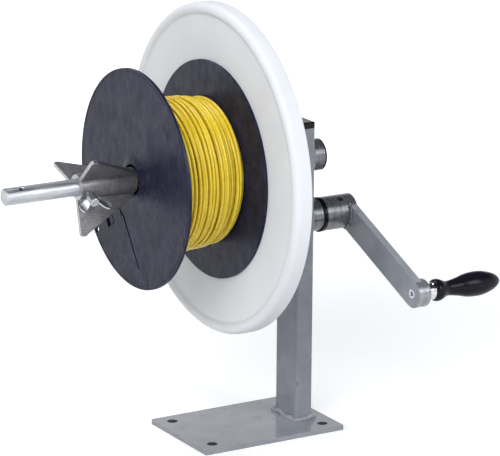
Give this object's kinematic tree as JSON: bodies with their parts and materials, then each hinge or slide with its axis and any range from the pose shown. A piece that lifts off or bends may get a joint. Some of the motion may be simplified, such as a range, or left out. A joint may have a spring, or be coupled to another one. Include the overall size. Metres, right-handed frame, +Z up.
{
  "type": "manual cable winder",
  "caption": "Bench-mounted hand winder: bolted column stand, geared crank with turning grip, spool shaft with white backing disc, cable reel and finned clamping cone.",
  "frame": {"origin": "centre of the base plate's four-hole bolt pattern, on the underside that rests on the bench", "axes": "+X along both shafts from the reel to the crank, +Z up along the bolts and the column, +Y across the stand"},
  "size_m": [0.6035, 0.412, 0.5474],
  "materials": {
    "grey_paint": "semi-gloss grey paint over steel",
    "black_plastic": "black moulded plastic",
    "zinc_plate": "bright zinc plate on turned steel",
    "machined_steel": "machined steel, lightly greased",
    "black_steel": "blackened hardened steel",
    "white_plastic": "white moulded plastic, satin",
    "reel_plastic": "slate-black recycled plastic, matt",
    "yellow_wire": "yellow PVC insulation",
    "bare_steel": "bare mill-finish steel",
    "chrome": "polished chrome plate",
    "black_gloss": "polished black thermoset plastic"
  },
  "bodies": {
    "stand": {"base_plate": "grey_paint", "column": "grey_paint", "base_weld": "grey_paint", "column_cap": "black_plastic", "upper_bearing_tube": "grey_paint", "lower_bearing_tube": "grey_paint", "tube_welds": "grey_paint", "upper_front_bush": "black_plastic", "upper_rear_bush": "black_plastic", "lower_front_bush": "black_plastic", "lower_rear_bush": "black_plastic"},
    "spool": {"spool_shaft": "zinc_plate", "spool_gear": "machined_steel", "spool_gear_key": "machined_steel", "spool_gear_screw": "black_steel", "spacer_tube": "machined_steel", "disc_hub": "machined_steel", "disc_hub_pin": "machined_steel", "backing_disc": "white_plastic", "disc_screws": "zinc_plate", "driver_pin": "zinc_plate", "spool_washer": "zinc_plate", "spool_circlip": "black_steel"},
    "reel": {"reel_front_flange": "reel_plastic", "reel_core": "reel_plastic", "reel_rear_flange": "reel_plastic", "wire_winding": "yellow_wire"},
    "cone": {"cone_hub": "bare_steel", "cone_fin_1": "bare_steel", "cone_fin_2": "bare_steel", "cone_fin_3": "bare_steel", "cone_welds": "bare_steel"},
    "wing_screw": {"wing_screw": "zinc_plate"},
    "crank": {"crank_shaft": "zinc_plate", "crank_gear": "machined_steel", "crank_gear_key": "machined_steel", "crank_gear_screw": "black_steel", "crank_washer": "zinc_plate", "crank_circlip": "black_steel", "crank_hub": "grey_paint", "crank_arm": "grey_paint", "handle_boss": "grey_paint", "crank_welds": "grey_paint", "crank_set_screw": "black_steel", "grip_spindle": "chrome"},
    "grip": {"grip": "black_gloss"}
  },
  "joints": [
    {"name": "spool_spin", "type": "hinge", "parent": "stand", "child": "spool", "pos_m": [0.068, 0, 0.3415], "axis": [1, 0, 0], "continuous": true},
    {"name": "crank_turn", "type": "hinge", "parent": "stand", "child": "crank", "pos_m": [0.068, 0, 0.2635], "axis": [1, 0, 0], "continuous": true},
    {"name": "grip_spin", "type": "hinge", "parent": "crank", "child": "grip", "pos_m": [0.2, -0.16017, 0.19551], "axis": [1, 0, 0], "continuous": true},
    {"name": "reel_slide", "type": "slide", "parent": "spool", "child": "reel", "axis": [-1, 0, 0], "range_m": [0, 0.045]},
    {"name": "cone_slide", "type": "slide", "parent": "reel", "child": "cone", "axis": [-1, 0, 0], "range_m": [0, 0.045]},
    {"name": "wing_screw_turn", "type": "hinge", "parent": "cone", "child": "wing_screw", "pos_m": [-0.231, 0, 0.3415], "axis": [0, -0.9205, -0.3907], "range_deg": [0, 360]}
  ],
  "couplings": [
    {"joint": "crank_turn", "follows": "spool_spin", "ratio": -0.625}
  ]
}
